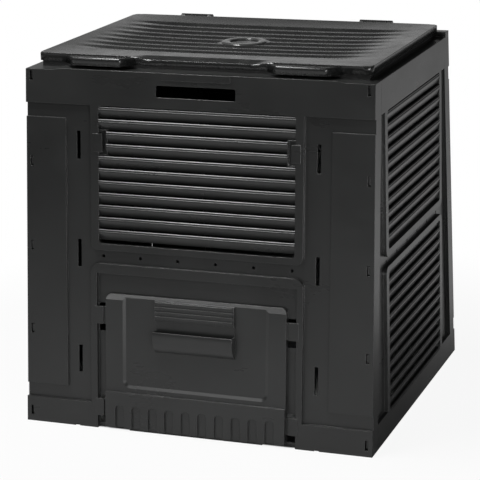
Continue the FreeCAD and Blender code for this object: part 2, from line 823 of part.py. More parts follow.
def corner_hooks(body, name):
    """Tongues that slip behind the returns, and hooks that reach through their slots."""
    tongues = wall_sketch(body, name + "_tongue_outline", skin + corner_gap)
    for side in (-1, 1):
        outline(tongues, [(side * side_edge(-trim), -trim), (side * tongue_edge(-trim), -trim),
                          (side * tongue_edge(panel_top), panel_top),
                          (side * side_edge(panel_top), panel_top)])
    pad(body, name + "_tongues", tongues, panel_back - skin - corner_gap)
    lower = front_tilt.cosine()
    roots = wall_sketch(body, name + "_hook_root_outline", skin + corner_gap)
    hooks = wall_sketch(body, name + "_hook_outline", hook_edge - hook_width / 2)
    for row in range(hook_rows):
        up = (hook_low + hook_pitch * row) * lower
        end = tongue_edge(up)
        tip = end + tongue_end - hook_set_back
        low, high = up - hook_height / 2, up + hook_height / 2
        twin_rectangles(roots, end - hook_root, end - root_set_back, low, high)
        twin_rectangles(hooks, end - hook_root, tip, low, high)
    pad(body, name + "_hook_roots", roots, hook_edge + hook_width / 2 - skin - corner_gap)
    pad(body, name + "_hooks", hooks, hook_width)


def side_panel(name, turn, side):
    """A side wall, with two louvre fields, tongues and hooks."""
    body = plain_wall(name, side_edge, side_edge)
    band_hollows(body, name, side_edge, None)
    upper_frame(body, name)
    lower_frame(body, name)
    small_holes(body, name)
    corner_hooks(body, name)
    louvres(body, name, field_low, field_high, slat_top, slat_count, long_slat_drop)
    louvres(body, name + "_low", low_field_low, low_field_high, low_slat_top, low_slat_count,
            long_slat_drop)
    stand(body, turn, foot_width / 2, side_tilt)
    half = foot_depth / 2
    wide = foot_width / 2 + trim
    near, far = (wide / 2, wide) if side > 0 else (-wide, -(wide / 2))
    keep = fuse(name + "_keep", [
        box(name + "_keep_low", near, far, -half, half, 0, low_rim - skin - corner_gap),
        box(name + "_keep_high", near, far, -(rim_inner - corner_gap), rim_inner - corner_gap,
            skin, low_rim)])
    trimmed = common(name + "_trimmed", body, keep)
    inner, lip, outer = side_lip_inner, side_lip_inner + lip_skin, top_width / 2
    end = rim_inner - corner_gap
    places = ((inner, outer), (inner, lip)) if side > 0 else ((-outer, -inner), (-lip, -inner))
    ledge = box(name + "_ledge", *places[0], -end, end, low_rim - skin, low_rim)
    wall_lip = box(name + "_lip", *places[1], -end, end, low_rim - skin, lip_top)
    return fuse(name + "_panel", [trimmed, ledge, wall_lip])


def hatch_door():
    """The hatch door: a shallow pan with edge flanges and a fluted skirt."""
    body = new_body("hatch_door")
    back = recess_sink - door_play
    shell = wall_sketch(body, "door_outline", door_face)
    rectangle(shell, -door_half, door_half, door_low, door_high)
    block = pad(body, "door_block", shell, back - door_face)
    doc.recompute()
    high = (door_high - overlap).value
    corners = [f"Edge{number + 1}" for number, edge in enumerate(block.Shape.Edges)
               if edge.BoundBox.ZMin > high and edge.BoundBox.XLength < overlap.value]
    rounding = body.newObject("PartDesign::Fillet", "door_corners")
    rounding.Base = (block, corners)
    bind(rounding, "Radius", door_corner)
    flanges = wall_sketch(body, "door_flange_outline", tab_front + tab_skin + door_play)
    for low in (tab_low, tab_mid):
        twin_rectangles(flanges, door_half - overlap, flange_half, low, low + tab_height)
    pad(body, "door_flanges", flanges, flange_skin)
    skirt = wall_sketch(body, "door_skirt_outline", door_face - skirt_rise)
    rectangle(skirt, -door_half, door_half, door_low, skirt_high)
    pad(body, "door_skirt", skirt, skirt_rise + door_skin)
    hollow = wall_sketch(body, "door_hollow_outline", door_face + door_skin)
    rectangle(hollow, -(door_half - door_skin), door_half - door_skin, door_low + door_skin,
              door_high - door_corner)
    pocket(body, "door_hollow", hollow, back - door_face)
    sink = wall_sketch(body, "door_panel_outline", door_face)
    edge = door_panel_bevel / 2
    rounded_rectangle(sink, -(door_panel_half + edge), door_panel_half + edge, door_panel_low - edge,
                      door_high + trim, door_panel_corner)
    pocket(body, "door_panel_sink", sink, door_panel_sink,
           taper=slope_angle(door_panel_bevel, door_panel_sink) * -1)
    panel = wall_sketch(body, "door_panel_back_outline", door_face + door_panel_sink)
    rectangle(panel, -(door_panel_half + door_skin), door_panel_half + door_skin,
              door_panel_low - door_skin, door_high - overlap)
    pad(body, "door_panel", panel, door_skin)
    bevel = new_sketch(body, "door_bevel_outline", "YZ_Plane", door_half)
    outline(bevel, [(door_face, door_high - door_bevel), (door_face + door_bevel_sink, door_high),
                    (door_face + door_bevel_sink, door_high + overlap),
                    (door_face - overlap, door_high + overlap),
                    (door_face - overlap, door_high - door_bevel)])
    pocket(body, "door_bevel", bevel, door_half * 2)
    flutes = wall_sketch(body, "flute_outline", door_face - skirt_rise)
    place = -(flute_pitch * (flute_count - 1) / 2)
    rounded_rectangle(flutes, place - flute_half, place + flute_half, -flute_high, flute_high, flute_corner)
    first = pocket(body, "flute", flutes, flute_sink)
    pattern(body, "flutes", first, "X_Axis", flute_pitch, flute_count)
    stand(body, 0, foot_depth / 2, front_tilt)
    return body


def hatch_grip():
    """The grip on the door: a ridged plate above a finger scoop that is open at its top."""
    body = new_body("hatch_grip")
    seat = door_face + door_panel_sink
    plate = wall_sketch(body, "grip_outline", seat - grip_skin)
    rectangle(plate, -grip_half, grip_half, grip_low, grip_high)
    pad(body, "grip_plate", plate, grip_skin)
    block = wall_sketch(body, "grip_block_outline", seat - grip_rise)
    rectangle(block, -grip_half, grip_half, finger_high, grip_high)
    pad(body, "grip_block", block, grip_rise)
    ridges = wall_sketch(body, "grip_ridge_outline", seat - grip_rise - ridge_rise)
    for number in range(ridge_count):
        up = grip_high - ridge_pitch * (number + 0.5)
        rectangle(ridges, -(grip_half - grip_edge), grip_half - grip_edge,
                  up - ridge_width / 2, up + ridge_width / 2)
    pad(body, "grip_ridges", ridges, ridge_rise + overlap)
    bow = (finger_low - grip_low) * scoop_bow
    scoop = new_sketch(body, "scoop_outline", "YZ_Plane", -grip_half)
    bowed_outline(scoop, [(seat - grip_skin, grip_low), (seat, grip_low), (seat, finger_low),
                          (seat - scoop_rise, finger_low)], bow)
    pad(body, "scoop_block", scoop, grip_half * 2, inward=False)
    inside = new_sketch(body, "scoop_hollow_outline", "YZ_Plane", grip_half - grip_skin)
    bowed_outline(inside, [(seat - grip_skin - overlap, grip_low + grip_skin * 2),
                           (seat - grip_skin, grip_low + grip_skin * 2),
                           (seat - grip_skin, finger_low + overlap),
                           (seat - scoop_rise + grip_skin, finger_low + overlap)], bow)
    pocket(body, "scoop_hollow", inside, (grip_half - grip_skin) * 2)
    stand(body, 0, foot_depth / 2, front_tilt)
    return body


def lid_tab_outline(body, name, height, inset):
    """The two front grips seen from above, drawn at a height and shrunk by an inset."""
    drawing = new_sketch(body, name, "XY_Plane", height)
    root = -(lid_depth / 2 - lid_skin + inset)
    front = -(lid_depth / 2 + lid_tab_reach - inset)
    for side in (-1, 1):
        inner = side * (lid_tab_inner + inset)
        outer = side * (lid_tab_outer - inset)
        flare = side * lid_tab_flare
        outline(drawing, [(inner, root), (outer, root), (outer - flare, front), (inner + flare, front)])
    return drawing


def dish(body, kind, name, high, low):
    """A shallow frustum between two heights, raised or cut: the dished field of the lid."""
    top = new_sketch(body, name + "_top_outline", "XY_Plane", high)
    rectangle(top, -dish_half, dish_half, -dish_along, dish_along)
    floor = new_sketch(body, name + "_floor_outline", "XY_Plane", low)
    rectangle(floor, -dish_floor_half, dish_floor_half, -dish_floor_along, dish_floor_along)
    feature = body.newObject("PartDesign::" + kind, name)
    feature.Profile = top
    feature.Sections = [floor]
    return feature


def lid_grooves(body, floor):
    """The grooves across the dished field, which run out on its slopes."""
    back = -(groove_pitch * (groove_count - 1) / 2) - groove_width / 2 - groove_back
    grooves = new_sketch(body, "groove_outline", "XZ_Plane", back)
    edge = lid_high - dish_sink * (dish_half - groove_half) / (dish_half - dish_floor_half)
    outline(grooves, [(-dish_floor_half, floor - groove_sink), (dish_floor_half, floor - groove_sink),
                      (groove_half, edge), (groove_half, lid_high), (-groove_half, lid_high),
                      (-groove_half, edge)])
    first = pocket(body, "lid_groove", grooves, groove_width, inward=False)
    pattern(body, "lid_grooves", first, "Y_Axis", groove_pitch, groove_count, backwards=True)


def lid_dip(body, front):
    """The lower stretch of the front edge between the grips."""
    start = -(lid_depth / 2 - dip_depth)
    under = new_sketch(body, "dip_floor_outline", "YZ_Plane", -(dip_half + lid_skin))
    outline(under, [(start, lid_high - lid_skin), (-front, lid_high - lid_skin - dip_sink),
                    (-front, lid_high - overlap), (start, lid_high - overlap * 2)])
    pad(body, "dip_floor", under, (dip_half + lid_skin) * 2, inward=False)
    dip = new_sketch(body, "dip_outline", "YZ_Plane", dip_half)
    outline(dip, [(start, lid_high), (-(lid_depth / 2), lid_high - dip_sink),
                  (-(lid_depth / 2) - overlap, lid_high + overlap), (start, lid_high + overlap)])
    pocket(body, "dip", dip, dip_half * 2)


def lid_shell():
    """The lid moulding without its hinges: a dished plate with a skirt, grooves, a ring and two grips."""
    body = new_body("lid_shell")
    floor = lid_high - dish_sink
    front = lid_depth / 2 - lid_skin
    side = lid_half - lid_skin
    shell = new_sketch(body, "lid_outline", "XY_Plane", lid_high - lid_skirt)
    rounded_rectangle(shell, -lid_half, lid_half, -(lid_depth / 2), lid_depth / 2, lid_corner)
    pad(body, "lid_block", shell, lid_skirt, inward=False)
    tab_top = lid_high - lid_edge
    tabs = lid_tab_outline(body, "lid_tab_outline", tab_top - lid_tab_height, 0)
    pad(body, "lid_tabs", tabs, lid_tab_height, inward=False)
    cups = lid_tab_outline(body, "lid_tab_hollow_outline", tab_top - lid_tab_skin, lid_tab_skin)
    pocket(body, "lid_tab_hollow", cups, lid_tab_height)
    hollow = new_sketch(body, "lid_hollow_outline", "XY_Plane", lid_high - lid_skin)
    rounded_rectangle(hollow, -side, side, -front, front, lid_corner - lid_skin)
    pocket(body, "lid_hollow", hollow, lid_skirt)
    dish(body, "AdditiveLoft", "lid_pan", lid_high - lid_skin, floor - dish_skin)
    dish(body, "SubtractiveLoft", "lid_dish", lid_high, floor)
    lid_grooves(body, floor)
    lid_dip(body, front)
    ring = new_sketch(body, "ring_outline", "XY_Plane", floor - ring_sink - lid_skin)
    circle_at(ring, 0, 0, ring_outer)
    pad(body, "lid_ring", ring, ring_sink + lid_skin + ring_rise, inward=False)
    seat = new_sketch(body, "badge_seat_outline", "XY_Plane", floor + ring_rise)
    circle_at(seat, 0, 0, ring_inner)
    pocket(body, "badge_seat", seat, ring_rise + ring_sink)
    return body


def lid():
    """The lid with its two hinge knuckles."""
    shapes = [lid_shell()]
    bores = []
    for side, word in ((-1, "left"), (1, "right")):
        left, right = hinge_ends(side)
        left = left + hinge_lug + hinge_play
        right = right - hinge_lug - hinge_play
        shapes.append(rod("knuckle_" + word, knuckle_radius, left, right, hinge_line, hinge_high))
        shapes.append(box("knuckle_web_" + word, left, right, lid_depth / 2 - overlap, hinge_line,
                          hinge_high - pin_radius, hinge_high + pin_radius * 2))
        bores.append(pin_bore("knuckle_bore_" + word, left, right))
    return cut("lid", fuse("lid_solid", shapes), fuse("knuckle_bores", bores))


def lid_badge():
    """The plain round plate in the ring of the lid."""
    body = new_body("lid_badge")
    disc = new_sketch(body, "badge_outline", "XY_Plane", lid_high - dish_sink - ring_sink)
    circle_at(disc, 0, 0, ring_inner - badge_gap)
    pad(body, "badge_disc", disc, badge_thick, inward=False)
    return body


def hinge_pin(word, side):
    """A plain pin through one hinge."""
    body = new_body(word + "_hinge_pin")
    left, right = hinge_ends(side)
    section = new_sketch(body, word + "_pin_outline", "YZ_Plane", left)
    circle_at(section, hinge_line, hinge_high, pin_radius)
    pad(body, word + "_pin", section, right - left, inward=False)
    return body


def build():
    """Make every piece, test it and write it to its own file."""
    doc.recompute()
    pieces = {
        "front_panel": front_panel(),
        "right_panel": side_panel("right", 90, 1),
        "left_panel": side_panel("left", 270, -1),
        "back_panel": back_panel(),
        "lid": lid(),
        "lid_badge": lid_badge(),
        "hatch_door": hatch_door(),
        "hatch_grip": hatch_grip(),
        "left_hinge_pin": hinge_pin("left", -1),
        "right_hinge_pin": hinge_pin("right", 1),
    }
    doc.recompute()
    for item in doc.Objects:
        if "Invalid" in item.State or "Error" in item.State:
            raise RuntimeError(f"{item.Name} did not compute: {item.State}")
    os.makedirs("parts", exist_ok=True)
    for name, piece in pieces.items():
        piece.Label = name
        shape = piece.Shape
        if shape.isNull() or not shape.isValid():
            raise RuntimeError(f"{name} has no valid shape")
        if len(shape.Solids) != 1:
            raise RuntimeError(f"{name} has {len(shape.Solids)} solids")
        shape.exportStep(f"parts/{name}.step")


build()
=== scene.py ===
import math

import bmesh
import bpy
from mathutils import Matrix, Vector


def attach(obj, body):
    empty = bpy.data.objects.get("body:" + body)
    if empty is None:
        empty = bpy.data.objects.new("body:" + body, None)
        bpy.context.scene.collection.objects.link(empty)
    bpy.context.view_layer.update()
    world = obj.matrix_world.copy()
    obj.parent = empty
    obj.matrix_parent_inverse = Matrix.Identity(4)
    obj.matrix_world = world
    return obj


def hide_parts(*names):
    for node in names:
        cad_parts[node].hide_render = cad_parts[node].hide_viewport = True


bl_info = {
    "name": "Compost bin",
    "version": (1, 0, 0),
    "blender": (4, 5, 0),
    "location": "View3D > Sidebar > Compost bin",
    "description": "Dresses the compost bin with its moulded plastic finishes and sets its studio",
    "category": "Object",
}

# Lengths are in metres and angles in degrees, unless a property says otherwise.
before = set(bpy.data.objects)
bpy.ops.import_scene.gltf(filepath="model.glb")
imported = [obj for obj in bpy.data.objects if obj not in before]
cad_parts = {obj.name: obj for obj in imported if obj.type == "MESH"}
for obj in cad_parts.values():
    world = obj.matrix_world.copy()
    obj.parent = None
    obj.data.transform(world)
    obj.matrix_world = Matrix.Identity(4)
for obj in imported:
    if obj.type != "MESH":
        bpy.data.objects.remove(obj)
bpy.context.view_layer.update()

WALLS = ("front_panel", "right_panel", "left_panel", "back_panel")
HATCH = ("hatch_door", "hatch_grip")
PINS = ("left_hinge_pin", "right_hinge_pin")
SIDES = (("left", -1), ("right", 1))
WHITE = (1, 1, 1, 1)

# The patterns in the plastic: waves in a metre, levels of detail, and how rough the fine levels are.
CLOUD_NOISE = (5.0, 3.0, 0.55)
FLOW_NOISE = (1.0, 4.0, 0.6)
SCUFF_NOISE = (1.0, 3.0, 0.7)
GRAIN_NOISE = (1400.0, 2.0, 0.6)
PIT_NOISE = (520.0, 1.0, 0.5)
EDGE_PATCH_NOISE = (90.0, 3.0, 0.6)
PALE_TOP_NOISE = (28.0, 4.0, 0.65)
# Two of them are drawn out level, by a scale for each axis.
FLOW_STRETCH = (6.0, 6.0, 22.0)
SCUFF_STRETCH = (60.0, 60.0, 380.0)
# The values at which each pattern starts and is full.
CLOUD_RANGE = (0.3, 0.7)
SCUFF_RANGE = (0.60, 0.74)
EDGE_PATCH_RANGE = (0.35, 0.75)
PALE_TOP_RANGE = (0.35, 0.8)
EDGE_RANGE = (0.02, 0.32)
UPWARD_RANGE = (0.55, 0.98)
# What the patterns do to the colour: each gain multiplies the plain colour, and each share says how much
# of the result shows.
CLOUD_GAINS = (0.88, 1.14)
# The lighter edges are partly rubbed wear and partly a painted highlight along the moulded edges.
EDGE_WEAR_AND_HIGHLIGHT_GAIN, EDGE_WEAR_AND_HIGHLIGHT_SHARE = 5.0, 0.6
SCUFF_GAIN, SCUFF_SHARE = 1.9, 0.18
# Upward faces get paler, slightly green patches and a more matte skin.
PALE_TOP_COLOUR, PALE_TOP_SHARE = (0.16, 0.165, 0.15, 1.0), 0.06
# How much each pattern adds to the roughness.
FLOW_MATTE = 0.10
CLOUD_MATTE = 0.06
SCUFF_MATTE = 0.08
PALE_TOP_MATTE = 0.08
# The relief: the shares of the fine grain and of the pits, and how strongly they show.
GRAIN_SHARE, PIT_SHARE = 0.65, 0.35
RELIEF_STRENGTH = 0.5
# The rays that round each edge in the light, the plastic's index of refraction, and how much smoother
# the hinge pins are than the walls.
EDGE_SAMPLES = 6
PLASTIC_IOR = 1.49
PIN_GLOSS = 0.12

# The floor: half its side, the pattern of its two grey tones, and the tones.
FLOOR_HALF = 9
FLOOR_NOISE = (3.0, 3.0, 0.5)
FLOOR_TONES = ((0.58, 0.58, 0.58, 1), (0.62, 0.62, 0.62, 1))
# The floor's white glow is absent under the bin. It comes in between these distances from the middle.
FOOT_HALF_WIDTH = (0.380, 0.388)
FOOT_HALF_DEPTH = (0.352, 0.359)
# The glow as the camera sees it: its share near the bin, what is added far from it, and the squares of
# the distances between which that comes in.
NEAR_WHITE, FAR_WHITE = 0.92, 0.08
FAR_RANGE = (0.5, 1.6)
# The glow in reflections: its share, and where it comes in from front to back.
MIRRORED_WHITE = 0.38
BEHIND_RANGE = (-0.3, 1.2)

# The place of each lamp, the point it faces, its width and its height.
LAMPS = {
    "key": ((-0.8, -0.65, 2.8), (0, -0.33, 0.5), 1.6, 0.5),
    "front": ((-0.75, -2.1, 1.6), (0, -0.36, 0.3), 1.3, 0.45),
    "side": ((1.7, -1.9, 0.5), (0.35, -0.36, 0.3), 0.8, 1.0),
    "low": ((1.1, -2.2, 0.25), (0.35, -0.36, 0.2), 0.6, 0.3),
    "back": ((-0.75, 2.5, 1.12), (-0.75, 0, 1.12), 2.5, 0.6),
}
# The camera: the width of its sensor in millimetres, and how far it sees.
SENSOR_WIDTH = 36
FAR_CLIP = 60

# The lid's cover: its steps across and along, and how late the dish falls from the rim each way.
COVER_STEPS = (110, 150)
DISH_POWERS = (3.1, 2.75)
# The grooves fade at the first and last one by this share of the pitch, and towards their ends between
# these distances from the middle.
GROOVE_FADE = 0.02
GROOVE_FULL, GROOVE_END = 0.235, 0.345
# The dip between the grips: where it is full and where it ends at each side, and where it starts and
# how far it runs to the front.
DIP_FULL, DIP_END = 0.112, 0.158
DIP_START, DIP_RUN = 0.2345, 0.034
# The flat ground under the ring, and the plate sunk inside it.
GROUND_OUTSIDE, GROUND_INSIDE = 0.010, 0.002
PLATE_SINK, PLATE_SLOPE = 0.0036, 0.004
SKIRT_ROUNDING, SKIRT_SEGMENTS = 0.0026, 3
# Edges that turn by more than this stay sharp.
SMOOTH_ANGLE = 32

# The ring: how far it stands above the dished field and reaches below it.
RING_RISE, RING_ROOT = 0.0022, 0.004
RING_STEPS = 96
# Its two rounded edges: how far each point lies from the edge and below the ring's top.
RING_OUTER_EDGE = ((0, 0.0022), (0.0012, 0.0007), (0.004, 0))
RING_INNER_EDGE = ((0.004, 0), (0.0012, 0.0006), (0, 0.002))
MERGE_DISTANCE = 0.00001

# How far the grips and the hinges' webs reach in under the cover's edge.
ROOT_OVERLAP = 0.003
# How far the grips' tops lie below the rim.
GRIP_DROP = 0.002
GRIP_ROUNDING, GRIP_SEGMENTS = 0.0035, 4
KNUCKLE_ROUNDING = 0.0015
KNUCKLE_STEPS = 48
# The web that carries each knuckle: its thickness, how far its middle lies above the hinge line, and the
# plastic left between it and the bore.
WEB_THICKNESS, WEB_LIFT, WEB_GAP = 0.010, 0.004, 0.002
WEB_ROUNDING, WEB_SEGMENTS = 0.002, 3
# An edge that is longer than this along an axis runs along it.
LONG_EDGE = 0.01
# A point that is nearer to a line than this lies on it.
NEAR_LINE = 0.001


class BinFinish(bpy.types.PropertyGroup):
    """Colours and finish of the moulded plastic."""
    wall_colour: bpy.props.FloatVectorProperty(
        name="Wall colour", description="Colour of the four walls", size=3, subtype="COLOR",
        default=(0.0155, 0.0159, 0.0157), min=0, max=1)
    lid_colour: bpy.props.FloatVectorProperty(
        name="Lid colour", description="Colour of the lid", size=3, subtype="COLOR",
        default=(0.0125, 0.0129, 0.0127), min=0, max=1)
    ring_colour: bpy.props.FloatVectorProperty(
        name="Ring colour", description="Colour of the ring on the lid", size=3, subtype="COLOR",
        default=(0.045, 0.046, 0.045), min=0, max=1)
    hatch_colour: bpy.props.FloatVectorProperty(
        name="Hatch colour", description="Colour of the hatch door and its grip", size=3, subtype="COLOR",
        default=(0.0185, 0.0190, 0.0188), min=0, max=1)
    roughness: bpy.props.FloatProperty(
        name="Roughness", description="How matte the moulded skin is", default=0.29, min=0, max=1)
    lid_gloss: bpy.props.FloatProperty(
        name="Lid gloss", description="How much smoother the lid is than the walls", default=0.07,
        min=0, max=1)
    ring_gloss: bpy.props.FloatProperty(
        name="Ring gloss", description="How much smoother the ring is than the walls", default=0.09,
        min=0, max=1)
    edge_radius: bpy.props.FloatProperty(
        name="Edge radius", description="How far the light rounds the moulded edges", default=0.0014,
        min=0, max=0.01, unit="LENGTH")
    grain_depth: bpy.props.FloatProperty(
        name="Grain depth", description="Depth of the fine moulded grain", default=0.00002,
        min=0, max=0.001, unit="LENGTH")


class LidShape(bpy.types.PropertyGroup):
    """Sizes of the lid: its dished field, grooves, grips, ring and hinges."""
    half_width: bpy.props.FloatProperty(
        name="Half width", description="Half the width of the lid", default=0.366, unit="LENGTH")
    half_depth: bpy.props.FloatProperty(
        name="Half depth", description="Half the depth of the lid", default=0.2685, unit="LENGTH")
    top: bpy.props.FloatProperty(
        name="Top", description="Height of the rim of the lid", default=0.796, unit="LENGTH")
    skirt: bpy.props.FloatProperty(
        name="Skirt", description="Height of the skirt round the lid", default=0.017, unit="LENGTH")
    corner: bpy.props.FloatProperty(
        name="Corner", description="Radius of the corners seen from above", default=0.010, unit="LENGTH")
    wall: bpy.props.FloatProperty(
        name="Wall", description="Thickness of the moulding", default=0.0032, unit="LENGTH")
    dish: bpy.props.FloatProperty(
        name="Dish", description="How deep the field is dished", default=0.0082, unit="LENGTH")
    groove_depth: bpy.props.FloatProperty(
        name="Groove depth", description="Depth of the grooves", default=0.0030, unit="LENGTH")
    groove_pitch: bpy.props.FloatProperty(
        name="Groove pitch", description="Distance from groove to groove", default=0.0465, unit="LENGTH")
    groove_back: bpy.props.FloatProperty(
        name="Groove shift", description="How far the grooves lie behind the middle", default=0.006,
        unit="LENGTH")
    groove_count: bpy.props.IntProperty(name="Grooves", description="Number of grooves", default=8, min=1)
    dip: bpy.props.FloatProperty(
        name="Dip", description="How far the front edge dips between the grips", default=0.006, unit="LENGTH")
    grip_inner: bpy.props.FloatProperty(
        name="Grip inner edge", description="Inner edge of each front grip", default=0.142, unit="LENGTH")
    grip_outer: bpy.props.FloatProperty(
        name="Grip outer edge", description="Outer edge of each front grip", default=0.306, unit="LENGTH")
    grip_reach: bpy.props.FloatProperty(
        name="Grip reach", description="How far the grips stand out", default=0.028, unit="LENGTH")
    grip_flare: bpy.props.FloatProperty(
        name="Grip flare", description="Run of the slanted ends of the grips", default=0.028, unit="LENGTH")
    ring_outer: bpy.props.FloatProperty(
        name="Ring outside", description="Outer radius of the ring", default=0.050, unit="LENGTH")
    ring_inner: bpy.props.FloatProperty(
        name="Ring inside", description="Inner radius of the ring", default=0.031, unit="LENGTH")
    hinge_place: bpy.props.FloatProperty(
        name="Hinge place", description="Distance of each hinge from the middle", default=0.2175,
        unit="LENGTH")
    hinge_half: bpy.props.FloatProperty(
        name="Hinge half length", description="Half the length of a hinge knuckle", default=0.027,
        unit="LENGTH")
    hinge_line: bpy.props.FloatVectorProperty(
        name="Hinge line", description="A point on the hinge line", size=3, subtype="TRANSLATION",
        default=(0, 0.2855, 0.786))
    knuckle: bpy.props.FloatProperty(
        name="Knuckle", description="Radius of the hinge knuckles", default=0.01195, unit="LENGTH")
    bore: bpy.props.FloatProperty(
        name="Bore", description="Radius of the bore for the hinge pin", default=0.00408, unit="LENGTH")


class StudioSettings(bpy.types.PropertyGroup):
    """The camera, the lamps and the white surroundings."""
    camera_place: bpy.props.FloatVectorProperty(
        name="Camera place", description="Where the camera stands", size=3, subtype="TRANSLATION",
        default=(1.4233, -3.9966, 1.5082))
    camera_turn: bpy.props.FloatProperty(
        name="Camera turn", description="How far the camera is turned to the left, in degrees",
        default=19.846)
    camera_dip: bpy.props.FloatProperty(
        name="Camera dip", description="How far the camera looks down, in degrees", default=15.399)
    camera_roll: bpy.props.FloatProperty(
        name="Camera roll", description="How far the camera leans, in degrees", default=-1.164)
    lens: bpy.props.FloatProperty(
        name="Lens", description="Focal length in millimetres", default=147.36, min=20)
    sky_light: bpy.props.FloatProperty(
        name="Sky light", description="Strength of the light from all round", default=0.04, min=0)
    key_power: bpy.props.FloatProperty(
        name="Key power", description="Power of the lamp high above the front, in watts", default=80, min=0)
    front_power: bpy.props.FloatProperty(
        name="Front power", description="Power of the long lamp at the left before the front, in watts",
        default=11, min=0)
    side_power: bpy.props.FloatProperty(
        name="Side power", description="Power of the lamp at the right, in watts", default=10, min=0)
    low_power: bpy.props.FloatProperty(
        name="Low power", description="Power of the low lamp before the right corner, in watts",
        default=11, min=0)
    back_power: bpy.props.FloatProperty(
        name="Back power", description="Power of the lamp behind the bin that the lid mirrors, in watts",
        default=2.5, min=0)


class Term:
    """A number in a material that can be used in a Python expression."""

    def __init__(self, maker, socket):
        self.maker = maker
        self.socket = socket

    def _with(self, operation, first, second):
        node = self.maker.node("ShaderNodeMath", {"operation": operation}, {0: first, 1: second})
        return Term(self.maker, node.outputs[0])

    def __add__(self, other):
        return self._with("ADD", self, other)

    def __radd__(self, other):
        return self._with("ADD", other, self)

    def __sub__(self, other):
        return self._with("SUBTRACT", self, other)

    def __rsub__(self, other):
        return self._with("SUBTRACT", other, self)

    def __mul__(self, other):
        return self._with("MULTIPLY", self, other)

    def __rmul__(self, other):
        return self._with("MULTIPLY", other, self)

    def __pow__(self, other):
        return self._with("POWER", self, other)


class Maker:
    """Adds nodes to one material or to the world."""

    def __init__(self, owner):
        self.owner = owner
        owner.use_nodes = True
        self.tree = owner.node_tree
        self.tree.nodes.clear()

    def node(self, kind, settings=None, inputs=None):
        """Add a node, set its settings first and then its inputs, each a value or a link."""
        made = self.tree.nodes.new(kind)
        for name, value in (settings or {}).items():
            setattr(made, name, value)
        for name, value in (inputs or {}).items():
            if isinstance(value, Term):
                value = value.socket
            if isinstance(value, bpy.types.NodeSocket):
                self.tree.links.new(value, made.inputs[name])
            else:
                made.inputs[name].default_value = value
        return made

    def places(self):
        """The place on the surface, in metres in the bin's own frame."""
        return self.node("ShaderNodeTexCoord").outputs["Object"]

    def stretched(self, where, scale):
        """The place with a scale for each axis."""
        return self.node("ShaderNodeMapping", None, {"Vector": where, "Scale": scale}).outputs[0]

    def noise(self, where, scale, detail, rough):
        """Soft noise from 0 to 1."""
        made = self.node("ShaderNodeTexNoise", None,
                         {"Vector": where, "Scale": scale, "Detail": detail, "Roughness": rough})
        return Term(self, made.outputs["Fac"])

    def between(self, value, low, high):
        """0 below low, 1 above high, and smooth between."""
        made = self.node("ShaderNodeMapRange", {"interpolation_type": "SMOOTHSTEP"},
                         {"Value": value, "From Min": low, "From Max": high})
        return Term(self, made.outputs["Result"])

    def mix_colour(self, share, first, second):
        """The first colour at share 0 and the second at share 1."""
        made = self.node("ShaderNodeMix", {"data_type": "RGBA"}, {0: share, 6: first, 7: second})
        return made.outputs[2]

    def finish(self, shader, output="ShaderNodeOutputMaterial"):
        """Link the last shader and give back the material or world."""
        self.node(output, None, {"Surface": shader})
        return self.owner


def colour4(colour, gain):
    """A colour made brighter or darker, with its alpha."""
    return tuple(min(1.0, channel * gain) for channel in colour) + (1.0,)


